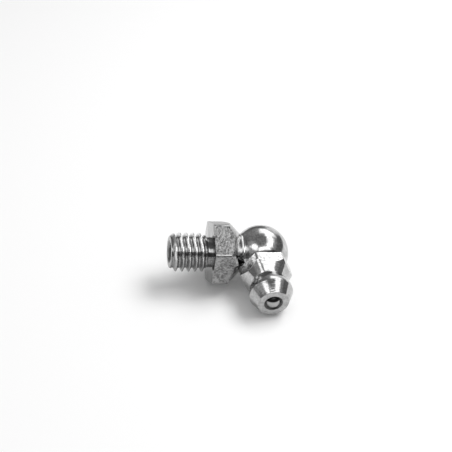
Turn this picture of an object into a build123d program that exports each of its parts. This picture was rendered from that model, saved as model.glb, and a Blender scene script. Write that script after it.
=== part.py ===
from build123d import *
import os
from math import cos, pi, radians, sin, sqrt, tan

# A 90 degree grease nipple, M6 x 1, lying at rest on a flat surface.
# Sizes are in millimetres and degrees. Along the thread, distances count from the ball's centre
# towards the thread's end. Along the head, they count from the same centre towards the tip.

# Elbow body, turned from hexagon bar
ball_radius = 4.3
hex_flats = 9.0
hex_corner_fillet = 0.5
hex_clocking = 36.0  # from the head's axis to the nearest corner
hex_corner_length = 2.28  # what the 45 degree cone leaves of each corner
seat_face = 7.95
undercut_width = 0.6
undercut_radius = 2.3
thread_radius = 3.0
thread_end = 14.1
thread_chamfer = 0.65
thread_pitch = 1.0
thread_depth = 0.61
thread_crest = 0.125  # how wide the flat crests are
thread_flank = 30.0
groove_start = 8.2  # the groove's cutter begins and ends in the open
groove_turns = 7
groove_clocking = 147.6  # from the head's axis to where the cutter begins
cutter_margin = 0.1  # how far the cutter stands out of the shank
bore_radius = 1.5
bore_countersink = 0.25
bore_floor = -0.9
drill_point = 59.0  # half the angle of a twist drill's point

# Seat of the head on the ball
spot_face = 3.6
spot_radius = 2.6
socket_radius = 1.91
socket_depth = 2.3

# Head, turned from its own hexagon bar
head_flats = 7.0
head_corner_fillet = 0.3
head_corner_end = 4.95
head_neck = 5.91
head_neck_radius = 2.73
head_ring = 8.44
head_ring_radius = 3.25
head_bulge = 1.2  # from the neck to the middle point of the bulge's arc
head_bulge_radius = 3.06
head_ring_fillet = 0.12
tip_face = 10.74
tip_radius = 2.3
mouth_radius = 1.4
mouth_depth = 0.2
valve_seat_radius = 1.05
chamber_radius = 1.35
spigot_radius = 1.9
spigot_chamfer = 0.15
spigot_end = 1.4
lip_radius = 0.8
lip_thickness = 0.35

# Check ball and its spring
check_radius = 1.25
check_gap = 0.02
wire_radius = 0.125
coil_radius = 1.0
wire_sides = 4  # a plain section for a wire that no one sees
closed_pitch = 0.27
open_turns = 2.4
steps_per_turn = 10

# Rest pose: the thread rises and the head droops until ball, hexagon and head all touch
thread_rise = 7.908
head_roll = 6.981
ball_centre = (4.995, 3.201, ball_radius)

rise = radians(thread_rise)
roll = radians(head_roll)
thread_dir = Vector(-cos(rise), 0, sin(rise))
head_dir = Vector(-sin(roll) * sin(rise), -cos(roll), -sin(roll) * cos(rise))
section = Plane(origin=ball_centre, x_dir=thread_dir, z_dir=thread_dir.cross(head_dir))
thread_axis = Axis(section.origin, thread_dir)
head_axis = Axis(section.origin, head_dir)


def across_thread(distance):
    """A plane square to the thread, with its x direction along the head."""
    return Plane(section.origin + thread_dir * distance, x_dir=head_dir, z_dir=thread_dir)


def across_head(distance):
    """A plane square to the head, with its x direction along the thread."""
    return Plane(section.origin + head_dir * distance, x_dir=thread_dir, z_dir=head_dir)


def outside_hexagon(plane, flats, corner_fillet, clocking):
    """All that lies outside a hexagon with rounded corners."""
    with BuildSketch(plane) as outside:
        Circle(flats)
        with BuildSketch(mode=Mode.SUBTRACT):
            with PolarLocations((flats / 2 - corner_fillet) / cos(radians(30)), 6, clocking):
                Circle(corner_fillet)
            make_hull()
    return outside.sketch


# Threaded shank: one helical groove with 60 degree flanks, cut upright
thread_start = seat_face + undercut_width
groove_mouth = thread_pitch - thread_crest
groove_floor = groove_mouth - 2 * thread_depth * tan(radians(thread_flank))
cutter_mouth = groove_mouth + 2 * cutter_margin * tan(radians(thread_flank))
with BuildPart() as threaded_shank:
    with BuildSketch(Plane.XZ):
        with BuildLine():
            Polyline(
                (0, thread_start),
                (thread_radius, thread_start),
                (thread_radius, thread_end - thread_chamfer),
                (thread_radius - thread_chamfer, thread_end),
                (0, thread_end),
                close=True,
            )
        make_face()
    revolve(axis=Axis.Z)
    groove = Helix(thread_pitch, thread_pitch * groove_turns, thread_radius, center=(0, 0, groove_start))
    with BuildSketch(Plane(groove @ 0, x_dir=(1, 0, 0), z_dir=groove % 0)):
        with BuildLine():
            Polyline(
                (-thread_depth, -groove_floor / 2),
                (cutter_margin, -cutter_mouth / 2),
                (cutter_margin, cutter_mouth / 2),
                (-thread_depth, groove_floor / 2),
                close=True,
            )
        make_face()
    sweep(path=groove, is_frenet=True, mode=Mode.SUBTRACT)

# Elbow body: hexagon, neck and ball, turned in one with the shank
hex_corner_radius = hex_flats / sqrt(3)
cone_start = seat_face - hex_corner_length
cone_shift = cone_start - hex_corner_radius
neck_x = (cone_shift + sqrt(2 * ball_radius**2 - cone_shift**2)) / 2
neck_y = neck_x - cone_shift

with BuildPart() as elbow_body:
    with BuildSketch(section):
        with BuildLine():
            ThreePointArc((-ball_radius, 0), (0, ball_radius), (neck_x, neck_y))
            Polyline(
                (neck_x, neck_y),
                (cone_start, hex_corner_radius),
                (seat_face, hex_corner_radius),
                (seat_face, undercut_radius),
                (thread_end - thread_chamfer, undercut_radius),
                (thread_end - thread_chamfer, 0),
                (-ball_radius, 0),
            )
        make_face()
    revolve(axis=thread_axis)
    waste = outside_hexagon(across_thread(neck_x), hex_flats, hex_corner_fillet, hex_clocking)
    extrude(waste, amount=seat_face - neck_x, mode=Mode.SUBTRACT)
    add(threaded_shank.part.moved(across_thread(0).location * Rotation(0, 0, groove_clocking)))

    with BuildSketch(section):
        with BuildLine():
            Polyline(
                (bore_floor - bore_radius / tan(radians(drill_point)), 0),
                (bore_floor, bore_radius),
                (thread_end - bore_countersink, bore_radius),
                (thread_end, bore_radius + bore_countersink),
                (thread_end, 0),
                close=True,
            )
        make_face()
    revolve(axis=thread_axis, mode=Mode.SUBTRACT)

    socket_floor = spot_face - socket_depth
    with BuildSketch(section):
        with BuildLine():
            Polyline(
                (0, socket_floor - socket_radius / tan(radians(drill_point))),
                (socket_radius, socket_floor),
                (socket_radius, spot_face),
                (spot_radius, spot_face),
                (spot_radius, ball_radius),
                (0, ball_radius),
                close=True,
            )
        make_face()
    revolve(axis=head_axis, mode=Mode.SUBTRACT)
elbow_body.part.label = "elbow_body"

# Head: spigot, hexagon, neck, coupling head and the bore that holds the valve
with BuildPart() as nipple_head:
    lip_top = spigot_end + lip_thickness
    valve_seat = tip_face - mouth_depth
    chamber_top = valve_seat - (chamber_radius - valve_seat_radius)
    with BuildSketch(section) as head_profile:
        with BuildLine():
            Polyline(
                (lip_radius, spigot_end),
                (spigot_radius - spigot_chamfer, spigot_end),
                (spigot_radius, spigot_end + spigot_chamfer),
                (spigot_radius, spot_face),
                (head_flats / sqrt(3), spot_face),
                (head_flats / sqrt(3), head_corner_end),
                (head_neck_radius, head_neck),
            )
            ThreePointArc(
                (head_neck_radius, head_neck),
                (head_bulge_radius, head_neck + head_bulge),
                (head_ring_radius, head_ring),
            )
            Polyline(
                (head_ring_radius, head_ring),
                (tip_radius, tip_face),
                (mouth_radius, tip_face),
                (valve_seat_radius, valve_seat),
                (chamber_radius, chamber_top),
                (chamber_radius, lip_top),
                (lip_radius, lip_top),
                (lip_radius, spigot_end),
            )
        make_face()
        ring_point = section.from_local_coords((head_ring_radius, head_ring))
        fillet(head_profile.vertices().sort_by_distance(ring_point)[0], head_ring_fillet)
    revolve(axis=head_axis)
    waste = outside_hexagon(across_head(spot_face), head_flats, head_corner_fillet, 0)
    extrude(waste, amount=head_neck - spot_face, mode=Mode.SUBTRACT)
nipple_head.part.label = "nipple_head"

# Check ball, held against the edge of its seat
check_centre = valve_seat - sqrt(check_radius**2 - valve_seat_radius**2) - check_gap
with BuildPart(across_head(check_centre)) as check_ball:
    Sphere(check_radius)
check_ball.part.label = "check_ball"

# Spring: a closed turn at each end of the open ones, ground flat. It is coiled upright, then laid in the head
spring_foot = lip_top
inner_radius = coil_radius - wire_radius
spring_top = check_centre - sqrt(check_radius**2 - inner_radius**2) - check_gap
spring_length = spring_top - spring_foot
open_pitch = (spring_length - 2 * closed_pitch) / open_turns


def wire_point(turn):
    """Where the wire's middle is after so many turns."""
    opened = min(max(turn - 1, 0), open_turns)
    height = opened * open_pitch + (turn - opened) * closed_pitch
    return (coil_radius * cos(2 * pi * turn), coil_radius * sin(2 * pi * turn), height)


with BuildPart() as upright_spring:
    with BuildLine() as coil:
        steps = round((open_turns + 2) * steps_per_turn)
        Spline(*[wire_point(step / steps_per_turn) for step in range(steps + 1)])
    with BuildSketch(Plane(coil.line @ 0, x_dir=(1, 0, 0), z_dir=coil.line % 0)):
        RegularPolygon(wire_radius, wire_sides)
    sweep(path=coil.line)
    split(bisect_by=Plane.XY, keep=Keep.TOP)
    split(bisect_by=Plane.XY.offset(spring_length), keep=Keep.BOTTOM)
with BuildPart(across_head(spring_foot)) as valve_spring:
    add(upright_spring.part)
valve_spring.part.label = "valve_spring"

os.makedirs("parts", exist_ok=True)
for piece in (elbow_body, nipple_head, check_ball, valve_spring):
    export_step(piece.part, f"parts/{piece.part.label}.step")
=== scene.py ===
import bmesh
import bpy
from math import atan2, cos, hypot, pi, radians, sin, sqrt, tan
from mathutils import Matrix, Vector


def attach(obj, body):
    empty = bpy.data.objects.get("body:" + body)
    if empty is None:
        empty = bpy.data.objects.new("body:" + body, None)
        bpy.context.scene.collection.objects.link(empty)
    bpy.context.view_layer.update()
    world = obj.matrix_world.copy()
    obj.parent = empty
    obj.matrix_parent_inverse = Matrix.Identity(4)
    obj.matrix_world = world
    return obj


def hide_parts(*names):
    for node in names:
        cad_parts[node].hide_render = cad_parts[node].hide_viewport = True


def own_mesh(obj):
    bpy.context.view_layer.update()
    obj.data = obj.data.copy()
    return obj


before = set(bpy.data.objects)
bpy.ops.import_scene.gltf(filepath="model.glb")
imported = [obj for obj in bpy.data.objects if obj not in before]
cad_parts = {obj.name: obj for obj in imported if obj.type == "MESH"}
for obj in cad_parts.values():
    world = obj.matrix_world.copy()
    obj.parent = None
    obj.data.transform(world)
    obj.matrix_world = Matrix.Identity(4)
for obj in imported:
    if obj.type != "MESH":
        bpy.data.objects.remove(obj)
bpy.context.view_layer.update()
print("frame loaded")

mm = 0.001
# what several pieces use, in millimetres and degrees
shared = {
    "merge": 0.0005,
    "onPlane": 1e-5,  # how near a corner lies to a cutting plane to count as in it
    "sharpAngle": 32,  # a fold from here on is shaded as a crisp edge
    "edgeFold": 28,  # and from here on its edge is broken
    "edgeSteps": 3,
    "drillPoint": 59,  # half the angle of a drill's point
    "spareEnd": 0.2,  # how far a cutter stands out
    "touch": 0.02,  # how near counts as on the spot
    "upright": 0.05,  # how far the normal of a flat side may lean
}

# The two axes of the nipple meet in the ball's centre
lie = {
    "ballCentre": (4.995, 3.201, 4.3),
    "threadRise": 7.908,
    "headRoll": 6.981,
}
rise = radians(lie["threadRise"])
roll = radians(lie["headRoll"])
threadDir = Vector((-cos(rise), 0, sin(rise)))
headDir = Vector((-sin(roll) * sin(rise), -cos(roll), -sin(roll) * cos(rise)))


def placeFrom(xDir, zDir):
    # millimetres along a piece's own axes to metres in the frame
    yDir = zDir.cross(xDir)
    turn = Matrix((xDir, yDir, zDir)).transposed().to_4x4()
    return Matrix.Translation(Vector(lie["ballCentre"]) * mm) @ turn @ Matrix.Scale(mm, 4)


threadPlace = placeFrom(headDir, threadDir)
headPlace = placeFrom(threadDir, headDir)


class Wire:
    # the output of a node, ready for sums
    def __init__(self, tree, socket):
        self.tree = tree
        self.socket = socket

    def math(self, operation, *values):
        node = self.tree.nodes.new("ShaderNodeMath")
        node.operation = operation
        for socket, value in zip(node.inputs, values or [self]):
            connect(self.tree, socket, value)
        return Wire(self.tree, node.outputs[0])

    def __add__(self, other):
        return self.math("ADD", self, other)

    def __radd__(self, other):
        return self.math("ADD", other, self)

    def __sub__(self, other):
        return self.math("SUBTRACT", self, other)

    def __rsub__(self, other):
        return self.math("SUBTRACT", other, self)

    def __mul__(self, other):
        return self.math("MULTIPLY", self, other)

    def __rmul__(self, other):
        return self.math("MULTIPLY", other, self)

    def __pow__(self, other):
        return self.math("POWER", self, other)

    def __mod__(self, other):
        return self.math("MODULO", self, other)

    def __abs__(self):
        return self.math("ABSOLUTE")


def connect(tree, socket, value):
    if isinstance(value, Wire):
        tree.links.new(value.socket, socket)
    else:
        socket.default_value = value


class Nodes:
    # adds nodes to a tree and links them
    def __init__(self, tree):
        self.tree = tree
        tree.nodes.clear()

    def node(self, kind, settings=None, sockets=None, output=0):
        made = self.tree.nodes.new(kind)
        for key, value in (settings or {}).items():
            setattr(made, key, value)
        for key, value in (sockets or {}).items():
            connect(self.tree, made.inputs[key], value)
        return Wire(self.tree, made.outputs[output])

    def ease(self, value, low, high):
        # 0 at low and 1 at high, without corners
        return self.node("ShaderNodeMapRange", {"interpolation_type": "SMOOTHSTEP"},
            {0: value, 1: low, 2: high})

    def show(self, surface, kind="ShaderNodeOutputMaterial"):
        self.tree.links.new(surface.socket, self.tree.nodes.new(kind).inputs["Surface"])


class Finish(Nodes):
    # a material and the nodes that make it
    def __init__(self, name):
        self.material = bpy.data.materials.new(name)
        self.material.use_nodes = True
        super().__init__(self.material.node_tree)

    def piecePlace(self, place):
        # object coordinates as millimetres along the piece's own axes
        spot = self.node("ShaderNodeTexCoord", output=3)
        return self.node("ShaderNodeMapping", {"vector_type": "TEXTURE"}, {
            "Vector": spot,
            "Location": place.to_translation(),
            "Rotation": place.to_euler(),
            "Scale": place.to_scale(),
        })

    def split(self, vector):
        return [self.node("ShaderNodeSeparateXYZ", sockets={0: vector}, output=n) for n in range(3)]

    def noise(self, vector, scale, detail=3):
        return self.node("ShaderNodeTexNoise", sockets={"Vector": vector, "Scale": scale, "Detail": detail})

    def tint(self, factor, dark, light):
        return self.node("ShaderNodeMix", {"data_type": "RGBA"}, {0: factor, 6: dark, 7: light}, 2)

    def shade(self, colour, roughness, height, depth):
        bump = self.node("ShaderNodeBump", sockets={
            "Height": height, "Strength": 1.0, "Distance": depth * mm})
        self.show(self.node("ShaderNodeBsdfPrincipled", sockets={
            "Base Color": colour, "Roughness": roughness, "Metallic": 1.0, "Normal": bump}))
        return self.material


class Pen:
    # draws a turned profile, as radius against height
    def __init__(self, bm, radius, height):
        self.bm = bm
        self.first = self.tip = bm.verts.new((radius, 0, height))

    def line(self, *points):
        for radius, height in points:
            new = self.bm.verts.new((radius, 0, height))
            self.bm.edges.new((self.tip, new))
            self.tip = new

    def arc(self, centre, end, steps):
        # swings the tip round centre until it is in line with end
        start = atan2(self.tip.co.z - centre[1], self.tip.co.x - centre[0])
        turn = atan2(end[1] - centre[1], end[0] - centre[0]) - start
        turn = (turn + pi) % (2 * pi) - pi
        swung = bmesh.ops.spin(self.bm, geom=[self.tip], cent=(centre[0], 0, centre[1]),
            axis=(0, 1, 0), angle=-turn, steps=steps)
        self.tip = next(item for item in swung["geom_last"] if isinstance(item, bmesh.types.BMVert))

    def close(self):
        self.bm.edges.new((self.tip, self.first))


def arcCentre(a, b, c):
    # centre of the circle through three points
    ab, ac = b - a, c - a
    cross = 2 * (ab.x * ac.y - ab.y * ac.x)
    return a + Vector((ac.y * ab.length_squared - ab.y * ac.length_squared,
        ab.x * ac.length_squared - ac.x * ab.length_squared)) / cross


def revolve(bm, steps):
    bmesh.ops.spin(bm, geom=bm.verts[:] + bm.edges[:], cent=(0, 0, 0), axis=(0, 0, 1),
        angle=2 * pi, steps=steps, use_merge=True)
    bmesh.ops.remove_doubles(bm, verts=bm.verts[:], dist=shared["merge"])


def planeOff(bm, point, outward):
    # cuts off what lies outside a plane and returns the new rim
    cut = bmesh.ops.bisect_plane(bm, geom=bm.verts[:] + bm.edges[:] + bm.faces[:], dist=shared["onPlane"],
        plane_co=point, plane_no=outward, clear_outer=True)
    return [item for item in cut["geom_cut"] if isinstance(item, bmesh.types.BMEdge)]


def cutHexagon(bm, acrossFlats, cornerFillet, firstNormal):
    # planes off six sides and their rounded corners, and closes each cut with one face
    reach = (acrossFlats / 2 - cornerFillet) / cos(radians(30))
    for turn in range(0, 360, 10):
        angle = radians(firstNormal + turn)
        normal = Vector((cos(angle), sin(angle), 0))
        away = reach * cos(radians(turn % 60 - 30)) + cornerFillet
        bmesh.ops.edgeloop_fill(bm, edges=planeOff(bm, normal * away, normal))


def breakEdges(bm, width, segments, where, least=shared["edgeFold"]):
    sharp = [edge for edge in bm.edges if len(edge.link_faces) == 2
        and edge.calc_face_angle() > radians(least) and where((edge.verts[0].co + edge.verts[1].co) / 2)]
    bmesh.ops.bevel(bm, geom=sharp, offset=width, offset_type="OFFSET", affect="EDGES",
        segments=segments, profile=0.5, material=-1, clamp_overlap=True)


def joinTo(bm, other):
    mesh = bpy.data.meshes.new("joined")
    other.to_mesh(mesh)
    other.free()
    bm.from_mesh(mesh)
    bpy.data.meshes.remove(mesh)


def holdFor(bm, name):
    # a plain object for a modifier to work on
    bmesh.ops.recalc_face_normals(bm, faces=bm.faces[:])
    mesh = bpy.data.meshes.new(name)
    bm.to_mesh(mesh)
    held = bpy.data.objects.new(name, mesh)
    bpy.context.scene.collection.objects.link(held)
    return held


def cutAway(bm, *cutters):
    # takes closed cutters off a closed solid
    blank = holdFor(bm, "blank")
    tools = [holdFor(cutter, "tool") for cutter in cutters]
    for tool in tools:
        cut = blank.modifiers.new("cut", "BOOLEAN")
        cut.operation = "DIFFERENCE"
        cut.solver = "EXACT"
        cut.object = tool
    bpy.context.view_layer.update()
    done = bpy.data.meshes.new_from_object(blank.evaluated_get(bpy.context.evaluated_depsgraph_get()))
    bm.clear()
    bm.from_mesh(done)
    for held in [blank, *tools]:
        bpy.data.objects.remove(held)


def finishPiece(bm, name, place, materials, rule, body, node):
    bmesh.ops.recalc_face_normals(bm, faces=bm.faces[:])
    for face in bm.faces:
        face.material_index = rule(face.calc_center_median(), face.normal)
    bmesh.ops.transform(bm, matrix=place, verts=bm.verts[:])
    mesh = bpy.data.meshes.new(name)
    bm.to_mesh(mesh)
    bm.free()
    for material in materials:
        mesh.materials.append(material)
    mesh.shade_smooth()
    mesh.set_sharp_from_angle(angle=radians(shared["sharpAngle"]))
    piece = bpy.data.objects.new(name, mesh)
    bpy.context.scene.collection.objects.link(piece)
    weighted = piece.modifiers.new("flatSides", "WEIGHTED_NORMAL")
    weighted.keep_sharp = True
    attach(piece, body)
    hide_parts(node)
    print(name, len(mesh.polygons), "faces")
    return piece


def grey(tone):
    return (tone, tone, tone, 1)


finishes = {
    # the shaded tones of turnedPlate and headPlate are painted shade
    "turnedPlate": {"rings": 4, "clouds": 0.9, "specks": 4.5, "dark": 0.36, "light": 0.62, "gloss": 0.05,
        "haze": 0.09, "ringDepth": 0.016, "shadedDark": 0.24, "shadedLight": 0.44, "shadedAxis": "z",
        "shadedFrom": (4.0, 5.0), "creviceShadeTone": 0.04},
    "hexPlate": {"pits": 3.6, "clouds": 1.0, "dark": 0.13, "light": 0.37, "rubbed": 0.28,
        "corner": (5.04, 5.1), "gloss": 0.22, "haze": 0.14, "pitDepth": 0.06},
    # painted light and shade: crest is the crests' tone on the top side, under their tone underneath
    "threadPlate": {"clouds": 1.6, "root": 0.28, "crest": 0.88, "under": 0.4, "litTopSide": (0.5, 1.5),
        "crestWearAndGrooveShade": (2.4, 2.9), "gloss": 0.08, "haze": 0.14, "underHaze": 0.16, "pits": 3.0, "pitDepth": 0.045},
    # dark as painted shade inside the bore and the valve chamber
    "shadedBore": {"rings": 4, "clouds": 1.2, "specks": 4, "dark": 0.1, "light": 0.2, "gloss": 0.34,
        "haze": 0.1, "ringDepth": 0.008},
    "headPlate": {"rings": 6, "clouds": 0.8, "specks": 4, "dark": 0.36, "light": 0.54, "gloss": 0.03,
        "haze": 0.06, "ringDepth": 0.02, "shadedDark": 0.18, "shadedLight": 0.34, "shadedAxis": "y",
        "shadedFrom": (0.2, 2.0)},
    "neckPlate": {"rings": 2.6, "clouds": 0.8, "specks": 4, "dark": 0.4, "light": 0.6, "gloss": 0.04,
        "haze": 0.06, "ringDepth": 0.03},
    "headHexPlate": {"pits": 2.6, "clouds": 0.9, "dark": 0.34, "light": 0.84, "rubbed": 0.6,
        "corner": (3.94, 3.98), "gloss": 0.1, "haze": 0.12, "pitDepth": 0.055},
    "tipPlate": {"rings": 9, "clouds": 1.4, "specks": 4, "dark": 0.32, "light": 0.5, "gloss": 0.36,
        "haze": 0.1, "ringDepth": 0.008},
    # the mouth round the ball is coloured nearly black as painted shade
    "shadedMouth": {"rings": 9, "clouds": 1.4, "specks": 4, "dark": 0.05, "light": 0.12, "gloss": 0.3,
        "haze": 0.1, "ringDepth": 0.004},
    "springSteel": {"rings": 3, "clouds": 3.0, "specks": 6, "dark": 0.24, "light": 0.36, "gloss": 0.3,
        "haze": 0.1, "ringDepth": 0.002},
    # the ball's top shade is painted shade
    "ballSteel": {"clouds": 2.0, "dark": 0.32, "light": 0.46, "topShade": 0.025, "topShadeFrom": (0.42, 0.54),
        "topShadeTilt": 0.15, "topShadeWaver": 0.15, "gloss": 0.26, "haze": 0.1, "depth": 0.004},
}
# how the noises mix in the platings, and where painted shade darkens the crevice at the foot of the head
plating = {
    "speckle": 1.1,
    "cloudEnds": (0.2, 0.8),
    "mottleEnds": (0.75, 1.2),
    "ringSkew": 0.1,
    "rubbedGloss": 0.6,
    "rubbedPits": 0.7,
    "wearAndShadeWaver": 0.3,
    "creviceIn": (2.72, 2.95),
    "creviceUp": (2.0, 2.5),
    "creviceEnd": (2.6, 3.2),
}


def turnedSteel(name, place, look):
    # bright plating over the fine rings that the lathe left
    finish = Finish(name)
    where = finish.piecePlace(place)
    x, y, z = finish.split(where)
    radius = (x * x + y * y) ** 0.5
    ringSpot = finish.node("ShaderNodeCombineXYZ", sockets={0: radius, 1: x * plating["ringSkew"], 2: z})
    rings = finish.noise(ringSpot, look["rings"])
    specks = finish.noise(where, look["specks"], detail=4)
    cloud = finish.noise(where, look["clouds"]) + (specks - 0.5) * plating["speckle"]
    cloud = finish.ease(cloud, *plating["cloudEnds"])
    colour = finish.tint(cloud, grey(look["dark"]), grey(look["light"]))
    if "shadedFrom" in look:
        # painted shade, darker on the under side of the head and beyond the ball on the elbow
        along = {"y": y, "z": z}[look["shadedAxis"]]
        shadedTone = finish.tint(cloud, grey(look["shadedDark"]), grey(look["shadedLight"]))
        colour = finish.tint(finish.ease(along, *look["shadedFrom"]), colour, shadedTone)
    # painted shade in the crevice where the ball meets the head
    if "creviceShadeTone" in look:
        crevice = finish.ease(x, *plating["creviceIn"]) * finish.ease(y, *plating["creviceUp"])
        crevice = crevice * (1 - finish.ease(z, *plating["creviceEnd"]))
        colour = finish.tint(crevice, colour, grey(look["creviceShadeTone"]))
    return finish.shade(colour, cloud * look["haze"] + look["gloss"], rings, look["ringDepth"])


def mottledSteel(name, place, look):
    # plating on drawn bar, with fine pits and corners rubbed bright
    finish = Finish(name)
    where = finish.piecePlace(place)
    x, y = finish.split(where)[:2]
    corner = finish.ease((x * x + y * y) ** 0.5, *look["corner"])
    pits = finish.noise(where, look["pits"], detail=4)
    cloud = finish.noise(where, look["clouds"])
    mottle = finish.ease(pits + cloud, *plating["mottleEnds"])
    colour = finish.tint(mottle, grey(look["dark"]), grey(look["light"]))
    colour = finish.tint(corner, colour, grey(look["rubbed"]))
    rough = (cloud * look["haze"] + look["gloss"]) * (1 - corner * plating["rubbedGloss"])
    return finish.shade(colour, rough, pits * (1 - corner * plating["rubbedPits"]), look["pitDepth"])


def makeThreadPlate():
    # the groove is darker than the crests, partly dirt and partly painted shade, and the crests are worn
    # bright; painted light makes them lighter on the top side, painted shade darker underneath
    look = finishes["threadPlate"]
    finish = Finish("threadPlate")
    where = finish.piecePlace(threadPlace)
    x, y = finish.split(where)[:2]
    pits = finish.noise(where, look["pits"], detail=4)
    cloud = finish.noise(where, look["clouds"])
    # wear on the crests, and dirt with painted shade in the groove
    crestWearAndGrooveShade = finish.ease((x * x + y * y) ** 0.5 + (cloud - 0.5) * plating["wearAndShadeWaver"], *look["crestWearAndGrooveShade"])
    # painted light on the top side of the thread, painted shade underneath
    litTopSide = finish.ease(y, *look["litTopSide"])
    crest = finish.tint(litTopSide, grey(look["under"]), grey(look["crest"]))
    rough = cloud * look["haze"] + look["gloss"] + (1 - litTopSide) * look["underHaze"]
    return finish.shade(finish.tint(crestWearAndGrooveShade, grey(look["root"]), crest), rough, pits, look["pitDepth"])


def makeBallSteel():
    # plain steel, with painted shade darkening its top side
    look = finishes["ballSteel"]
    finish = Finish("ballSteel")
    where = finish.piecePlace(headPlace)
    x, y = finish.split(where)[:2]
    cloud = finish.noise(where, look["clouds"])
    # painted shade over the top of the ball
    topShade = finish.ease(x * look["topShadeTilt"] - y + (cloud - 0.5) * look["topShadeWaver"], *look["topShadeFrom"])
    colour = finish.tint(cloud, grey(look["dark"]), grey(look["light"]))
    colour = finish.tint(topShade, colour, grey(look["topShade"]))
    return finish.shade(colour, cloud * look["haze"] + look["gloss"], cloud, look["depth"])


turnedPlate = turnedSteel("turnedPlate", threadPlace, finishes["turnedPlate"])
hexPlate = mottledSteel("hexPlate", threadPlace, finishes["hexPlate"])
threadPlate = makeThreadPlate()
# painted shade: the bore is coloured dark for the shade inside it
shadedBore = turnedSteel("shadedBore", threadPlace, finishes["shadedBore"])
headPlate = turnedSteel("headPlate", headPlace, finishes["headPlate"])
headHexPlate = mottledSteel("headHexPlate", headPlace, finishes["headHexPlate"])
tipPlate = turnedSteel("tipPlate", headPlace, finishes["tipPlate"])
# painted shade: the valve chamber is coloured dark for the shade inside it
shadedChamber = turnedSteel("shadedChamber", headPlace, finishes["shadedBore"])
neckPlate = turnedSteel("neckPlate", headPlace, finishes["neckPlate"])
# painted shade: the mouth is coloured nearly black for the shade in it
shadedMouth = turnedSteel("shadedMouth", headPlace, finishes["shadedMouth"])
ballSteel = makeBallSteel()
springSteel = turnedSteel("springSteel", headPlace, finishes["springSteel"])
print("finishes ready")

elbow = {
    "ballRadius": 4.3,
    "neckFillet": 0.4,
    "hexFlats": 9.0,
    "hexClocking": 36.0,
    "cornerFillet": 0.5,
    "cornerLength": 2.28,
    "seatFace": 7.95,
    "undercutEnd": 8.55,
    "undercutRadius": 2.3,
    "threadEnd": 14.1,
    "boreRadius": 1.5,
    "countersink": 0.25,
    "boreFloor": -0.9,
    "spotFace": 3.6,
    "socketRadius": 1.91,
    "socketFloor": 1.3,
    "spotRadius": 2.6,
    "edge": 0.07,
    "edgeLimit": 0.2,  # no edge is broken on the thread, or nearer to it than this
    "joinGap": 0.05,
    "finishGap": 0.1,  # how far the thread's finish reaches into the undercut
    "brightMouth": 0.3,  # how much of the bore's mouth keeps the thread's finish
    "spare": 0.1,  # the bar is turned larger by this, so that the flats meet in true corners
    "ballSteps": 72,
    "filletSteps": 6,
    "steps": 192,
    "boreSteps": 96,
}
thread = {
    "pitch": 1.0,
    "turns": 9,
    "crestRadius": 2.955,
    "rootRadius": 2.39,
    "endRadius": 2.35,  # at both ends, from where the chamfers rise
    "runOut": 1.3,  # how steeply the crests fade in from the undercut
    "phase": 0.24,
    "steps": 128,
    # one pitch of the profile, as distance along the shank and height above the root
    "shape": [(0, 0), (0.07, 0), (0.12, 0.04), (0.17, 0.13), (0.41, 0.88), (0.435, 0.96), (0.465, 1),
        (0.535, 1), (0.565, 0.96), (0.59, 0.88), (0.83, 0.13), (0.88, 0.04), (0.93, 0), (1, 0)],
}


def makeThread():
    # one turn of the profile, repeated along the shank and cut to length
    bm = bmesh.new()
    pitch = thread["pitch"]
    root = thread["rootRadius"]
    crest = thread["crestRadius"]
    start = elbow["undercutEnd"] - 2 * pitch + thread["phase"]
    points = [(root + (crest - root) * up, start + pitch * along) for along, up in thread["shape"]]
    pen = Pen(bm, *points[0])
    pen.line(*points[1:])
    steps = thread["steps"]
    bmesh.ops.spin(bm, geom=bm.verts[:] + bm.edges[:], cent=(0, 0, 0), axis=(0, 0, 1),
        dvec=(0, 0, pitch / steps), angle=2 * pi, steps=steps)
    oneTurn = bm.verts[:] + bm.edges[:] + bm.faces[:]
    for turn in range(1, thread["turns"]):
        copy = bmesh.ops.duplicate(bm, geom=oneTurn)["geom"]
        bmesh.ops.translate(bm, vec=(0, 0, pitch * turn),
            verts=[item for item in copy if isinstance(item, bmesh.types.BMVert)])
    bmesh.ops.remove_doubles(bm, verts=bm.verts[:], dist=shared["merge"])
    for vert in bm.verts:
        radius = hypot(vert.co.x, vert.co.y)
        fromEnd = max(elbow["threadEnd"] - vert.co.z, 0)
        fromUndercut = max(vert.co.z - elbow["undercutEnd"], 0) * thread["runOut"]
        limit = min(crest, thread["endRadius"] + min(fromEnd, fromUndercut))
        if radius > limit:
            vert.co.x *= limit / radius
            vert.co.y *= limit / radius
    planeOff(bm, (0, 0, elbow["undercutEnd"]), (0, 0, -1))
    bmesh.ops.edgeloop_fill(bm, edges=planeOff(bm, (0, 0, elbow["threadEnd"]), (0, 0, 1)))
    return bm


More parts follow.
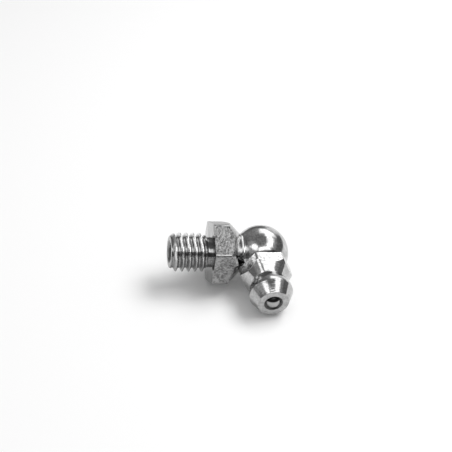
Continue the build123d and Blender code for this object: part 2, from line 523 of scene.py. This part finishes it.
def makeElbow():
    bm = bmesh.new()
    ball = elbow["ballRadius"]
    fillet = elbow["neckFillet"]
    seat = elbow["seatFace"]
    cornerRadius = elbow["hexFlats"] / sqrt(3) + elbow["spare"]
    coneStart = seat - elbow["cornerLength"] + elbow["spare"]
    # the fillet's middle is its own radius away from the ball and from the 45 degree cone
    away = ball + fillet
    lean = coneStart - cornerRadius - fillet * sqrt(2)
    across = sqrt(2 * away**2 - lean**2)
    middle = Vector((across - lean, across + lean)) / 2
    pen = Pen(bm, 0, -ball)
    pen.arc((0, 0), middle, elbow["ballSteps"])
    pen.arc(middle, middle + Vector((-1, 1)), elbow["filletSteps"])
    pen.line((cornerRadius, coneStart), (cornerRadius, seat), (elbow["undercutRadius"], seat),
        (elbow["undercutRadius"], elbow["undercutEnd"] - elbow["joinGap"]))
    revolve(bm, elbow["steps"])
    cutHexagon(bm, elbow["hexFlats"], elbow["cornerFillet"], elbow["hexClocking"] - 30)
    joinTo(bm, makeThread())
    bmesh.ops.bridge_loops(bm, edges=[edge for edge in bm.edges if edge.is_boundary])

    bore = bmesh.new()
    radius, flare = elbow["boreRadius"], elbow["countersink"]
    mouth, beyond = elbow["threadEnd"], shared["spareEnd"]
    pen = Pen(bore, 0, elbow["boreFloor"] - radius / tan(radians(shared["drillPoint"])))
    pen.line((radius, elbow["boreFloor"]), (radius, mouth - flare), (radius + flare + beyond, mouth + beyond),
        (0, mouth + beyond))
    revolve(bore, elbow["boreSteps"])

    socket = bmesh.new()
    radius, face, spot = elbow["socketRadius"], elbow["spotFace"], elbow["spotRadius"]
    pen = Pen(socket, 0, elbow["socketFloor"] - radius / tan(radians(shared["drillPoint"])))
    pen.line((radius, elbow["socketFloor"]), (radius, face), (spot, face), (spot, ball + beyond),
        (0, ball + beyond))
    revolve(socket, elbow["boreSteps"])
    bmesh.ops.transform(socket, matrix=threadPlace.inverted() @ headPlace, verts=socket.verts[:])
    cutAway(bm, bore, socket)
    breakEdges(bm, elbow["edge"], shared["edgeSteps"],
        lambda point: fillet < point.z < elbow["undercutEnd"] - elbow["edgeLimit"]
        and hypot(point.x, point.y) > ball + elbow["joinGap"])
    return bm


def elbowFinish(spot, normal):
    radius = hypot(spot.x, spot.y)
    bore, mouth = elbow["boreRadius"], elbow["threadEnd"] - elbow["brightMouth"]
    if radius < bore + shared["touch"] and -2 * bore < spot.z < mouth:
        return 3
    if spot.z > elbow["undercutEnd"] - elbow["finishGap"]:
        return 2
    if radius > elbow["ballRadius"] and abs(normal.z) < shared["upright"] and spot.z < elbow["seatFace"]:
        return 1
    return 0


finishPiece(makeElbow(), "elbowBody", threadPlace, [turnedPlate, hexPlate, threadPlate, shadedBore],
    elbowFinish, "nipple", "elbow_body")

nippleHead = {
    "flats": 7.0,
    "cornerFillet": 0.3,
    "spotFace": 3.6,
    "cornerEnd": 4.95,
    "neck": (2.55, 6.64),
    "neckFillet": 0.2,
    "neckFold": 32,  # sets how wide the fillet is; half the true fold is 36, which makes its radius 0.17
    "neckSteps": 4,
    "neckReach": 0.3,  # edges nearer the neck than this are left to its fillet
    "bulge": (2.97, 7.5),
    "ring": (3.25, 8.44),
    "landEnd": 8.93,
    "tip": (2.3, 10.74),
    "mouth": 1.4,
    "valveSeat": (1.05, 10.54),
    "chamber": 1.35,
    "spigot": 1.9,
    "spigotEnd": 1.4,
    "spigotChamfer": 0.15,
    "lip": (0.8, 1.75),
    "edge": 0.05,
    "edgeFold": 26,  # the land meets the front cone at less than the usual fold
    "firstFlat": 30,
    "spare": 0.1,
    "bulgeSteps": 24,
    "steps": 192,
}


def makeHead():
    bm = bmesh.new()
    neck, bulge, ring = (Vector(nippleHead[key]) for key in ("neck", "bulge", "ring"))
    spare, cornerEnd, face = nippleHead["spare"], nippleHead["cornerEnd"], nippleHead["spotFace"]
    corner = nippleHead["flats"] / sqrt(3)
    coneStart = cornerEnd - spare * (neck.y - cornerEnd) / (corner - neck.x)
    lip, foot = nippleHead["lip"], nippleHead["spigotEnd"]
    spigot, chamfer = nippleHead["spigot"], nippleHead["spigotChamfer"]
    pen = Pen(bm, lip[0], foot)
    pen.line((spigot - chamfer, foot), (spigot, foot + chamfer), (spigot, face), (corner + spare, face),
        (corner + spare, coneStart), neck)
    pen.arc(arcCentre(neck, bulge, ring), ring, nippleHead["bulgeSteps"])
    seat, chamber, tip = nippleHead["valveSeat"], nippleHead["chamber"], nippleHead["tip"]
    pen.line((ring.x, nippleHead["landEnd"]), tip, (nippleHead["mouth"], tip[1]), seat,
        (chamber, seat[1] - (chamber - seat[0])), (chamber, lip[1]), lip)
    pen.close()
    revolve(bm, nippleHead["steps"])
    cutHexagon(bm, nippleHead["flats"], nippleHead["cornerFillet"], nippleHead["firstFlat"])
    touch, reach = shared["touch"], nippleHead["neckReach"]
    breakEdges(bm, nippleHead["neckFillet"] * tan(radians(nippleHead["neckFold"])), nippleHead["neckSteps"],
        lambda point: abs(point.z - neck.y) < touch)
    breakEdges(bm, nippleHead["edge"], shared["edgeSteps"],
        lambda point: abs(point.z - neck.y) > reach and abs(point.z - ring.y) > touch, nippleHead["edgeFold"])
    return bm


def headFinish(spot, normal):
    radius = hypot(spot.x, spot.y)
    touch = shared["touch"]
    if radius < nippleHead["mouth"] - touch:
        return 4 if spot.z > nippleHead["valveSeat"][1] else 3
    if spot.z > nippleHead["tip"][1] - touch:
        return 2
    if abs(normal.z) < shared["upright"] and radius > nippleHead["flats"] / 2 - touch:
        return 1
    return 5 if spot.z < nippleHead["bulge"][1] else 0


finishPiece(makeHead(), "nippleHead", headPlace,
    [headPlate, headHexPlate, tipPlate, shadedChamber, shadedMouth, neckPlate],
    headFinish, "nipple", "nipple_head")

valve = {
    "ballRadius": 1.25,
    "ballSteps": (96, 48),
    "ballHeight": 9.842,
    "wireRadius": 0.125,
    "wireSides": 20,
    "coilRadius": 1.0,
    "foot": 1.75,
    "top": 8.9291,
    "closedPitch": 0.27,
    "openTurns": 2.4,
    "stepsPerTurn": 64,
    "travel": 5.9,
}


def makeBall():
    bm = bmesh.new()
    around, upward = valve["ballSteps"]
    bmesh.ops.create_uvsphere(bm, u_segments=around, v_segments=upward, radius=valve["ballRadius"])
    bmesh.ops.translate(bm, vec=(0, 0, valve["ballHeight"]), verts=bm.verts[:])
    return bm


def makeSpring():
    bm = bmesh.new()
    closed = valve["closedPitch"]
    opened = valve["top"] - valve["foot"] - 2 * closed
    ring = bmesh.ops.create_circle(bm, segments=valve["wireSides"], radius=valve["wireRadius"])["verts"]
    bmesh.ops.rotate(bm, verts=ring, cent=(0, 0, 0), matrix=Matrix.Rotation(pi / 2, 3, "X"))
    bmesh.ops.translate(bm, vec=(valve["coilRadius"], 0, valve["foot"]), verts=ring)
    end = bm.verts[:] + bm.edges[:]
    for turns, climb in ((1, closed), (valve["openTurns"], opened), (1, closed)):
        steps = round(valve["stepsPerTurn"] * turns)
        end = bmesh.ops.spin(bm, geom=end, cent=(0, 0, 0), axis=(0, 0, 1), dvec=(0, 0, climb / steps),
            angle=2 * pi * turns, steps=steps)["geom_last"]
    for height, up in ((valve["foot"], -1), (valve["top"], 1)):
        planeOff(bm, (0, 0, height), (0, 0, up))
    bmesh.ops.holes_fill(bm, edges=[edge for edge in bm.edges if edge.is_boundary], sides=0)
    return bm


def oneFinish(spot, normal):
    return 0


finishPiece(makeBall(), "checkBall", headPlace, [ballSteel], oneFinish,
    "check_ball", "check_ball")
springPiece = finishPiece(makeSpring(), "valveSpring", headPlace, [springSteel], oneFinish,
    "nipple", "valve_spring")
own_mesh(springPiece)

studio = {
    "floorSize": 2.0,
    "floorTone": 0.84,
    "floorLift": 0.08,
    "fill": 0.62,
    "fillRise": 0.7,  # the height at which the fill is full, where 1 is overhead
    "roomRadius": 0.95,
    "roomSubdivisions": 5,
    "roomTone": 0.4,
    "lampSize": (200, 150),
    "lamps": {"backRight": ((180, 75, 305), 0.56), "nearRight": ((190, -45, 305), 0.46)},
}
# soft boards round the nipple, and a later one covers those before it:
# azimuth and elevation of the middle, width, height and soft edge in degrees, brightness
boards = {
    "rightWall": (98, 14, 92, 26, 5, 0.17),
    "backBox": (36, 41, 54, 28, 6, 2.3),
    "rightBox": (88, 52, 100, 21, 4, 2.5),
    "frontBox": (166, 47, 65, 23, 4, 2.6),
    "frontFoot": (172, 14, 100, 34, 5, 0.08),
    "leftBox": (-126, 54, 44, 20, 5, 2.4),
    "leftWall": (-41, 41, 70, 75, 8, 0.26),
    "leftGlow": (-104, 32, 18, 30, 5, 0.6),
    "leftStrip": (-77, 20, 16, 14, 4, 1.6),
    "backWall": (0, 10, 36, 24, 5, 0.2),
    "nearLeft": (-136, 9, 66, 30, 4, 0.2),
    "ceiling": (0, 90, 360, 44, 4, 0.24),
    "backGlow": (34, 8, 24, 27, 4, 0.9),
}


def stand(name, bm, material):
    mesh = bpy.data.meshes.new(name)
    bm.to_mesh(mesh)
    bm.free()
    mesh.materials.append(material)
    stood = bpy.data.objects.new(name, mesh)
    bpy.context.scene.collection.objects.link(stood)
    return stood


def makeFloor():
    # its own light is seen by the camera and in the metal, and falls on nothing
    bm = bmesh.new()
    bmesh.ops.create_grid(bm, x_segments=1, y_segments=1, size=studio["floorSize"] / 2)
    finish = Finish("floorWhite")
    seen = finish.node("ShaderNodeLightPath") + finish.node("ShaderNodeLightPath", output=3)
    cloth = finish.node("ShaderNodeBsdfDiffuse", sockets={"Color": grey(studio["floorTone"])})
    glow = finish.node("ShaderNodeEmission", sockets={"Color": seen * studio["floorLift"]})
    finish.show(finish.node("ShaderNodeAddShader", sockets={0: cloth, 1: glow}))
    stand("floor", bm, finish.material)


def makeRoom():
    # walls and softboxes that only the metal sees, with no light of their own on the floor
    bm = bmesh.new()
    bmesh.ops.create_icosphere(bm, subdivisions=studio["roomSubdivisions"], radius=studio["roomRadius"])
    planeOff(bm, (0, 0, 0), (0, 0, -1))
    finish = Finish("roomGrey")
    spot = finish.node("ShaderNodeTexCoord", output=3)
    x, y, z = finish.split(finish.node("ShaderNodeVectorMath", {"operation": "NORMALIZE"}, {0: spot}))
    azimuth = x.math("ARCTAN2", x, y) * (180 / pi)
    elevation = z.math("ARCSINE") * (180 / pi)
    tone = studio["roomTone"]
    for middle, height, width, tall, edge, bright in boards.values():
        # the shorter way round from the board's middle
        aside = abs((azimuth - middle + 540) % 360 - 180)
        above = abs(elevation - height)
        inside = (1 - finish.ease(aside, width / 2 - edge, width / 2 + edge)) * (
            1 - finish.ease(above, tall / 2 - edge, tall / 2 + edge))
        tone = tone + inside * (bright - tone)
    finish.show(finish.node("ShaderNodeEmission", sockets={"Color": tone}))
    room = stand("room", bm, finish.material)
    room.visible_camera = room.visible_diffuse = room.visible_shadow = room.visible_transmission = False


def hangLamp(name, spot, power):
    lamp = bpy.data.lights.new(name, "AREA")
    lamp.shape = "RECTANGLE"
    lamp.size, lamp.size_y = (side * mm for side in studio["lampSize"])
    lamp.energy = power
    hung = bpy.data.objects.new(name, lamp)
    bpy.context.scene.collection.objects.link(hung)
    hung.location = Vector(spot) * mm
    hung.rotation_euler = Vector(spot).to_track_quat("Z", "Y").to_euler()
    hung.visible_glossy = False


def makeWorld():
    # white to look at, and a fill that comes from overhead rather than from the sides
    world = bpy.data.worlds.new("studio")
    bpy.context.scene.world = world
    world.use_nodes = True
    sky = Nodes(world.node_tree)
    seen = [sky.node("ShaderNodeLightPath", output=n) for n in (0, 3, 6)]
    spot = sky.node("ShaderNodeTexCoord", output=0)
    toward = sky.node("ShaderNodeSeparateXYZ", sockets={0: spot}, output=2)
    fill = sky.ease(toward, 0, studio["fillRise"]) * studio["fill"]
    seen = seen[0] + seen[1] + seen[2]
    strength = fill + seen.math("MINIMUM", seen, 1) * (1 - fill)
    sky.show(sky.node("ShaderNodeBackground", sockets={"Color": strength}), "ShaderNodeOutputWorld")


makeFloor()
makeRoom()
for lampName, (spot, power) in studio["lamps"].items():
    hangLamp(lampName, spot, power)
makeWorld()
print("studio ready")

view = {
    "spot": (-18.75, -104.19, 86.14),
    "looks": (0.1385, 0.8076, -0.5731),
    "lens": 71.11,
    "sensor": 36,
    "clip": (0.005, 10),
}
camera = bpy.data.cameras.new("camera")
camera.sensor_width = view["sensor"]
camera.lens = view["lens"]
camera.clip_start, camera.clip_end = view["clip"]
held = bpy.data.objects.new("camera", camera)
bpy.context.scene.collection.objects.link(held)
held.location = Vector(view["spot"]) * mm
held.rotation_euler = Vector(view["looks"]).to_track_quat("-Z", "Y").to_euler()
bpy.context.scene.camera = held
bpy.context.scene.view_settings.view_transform = "Standard"
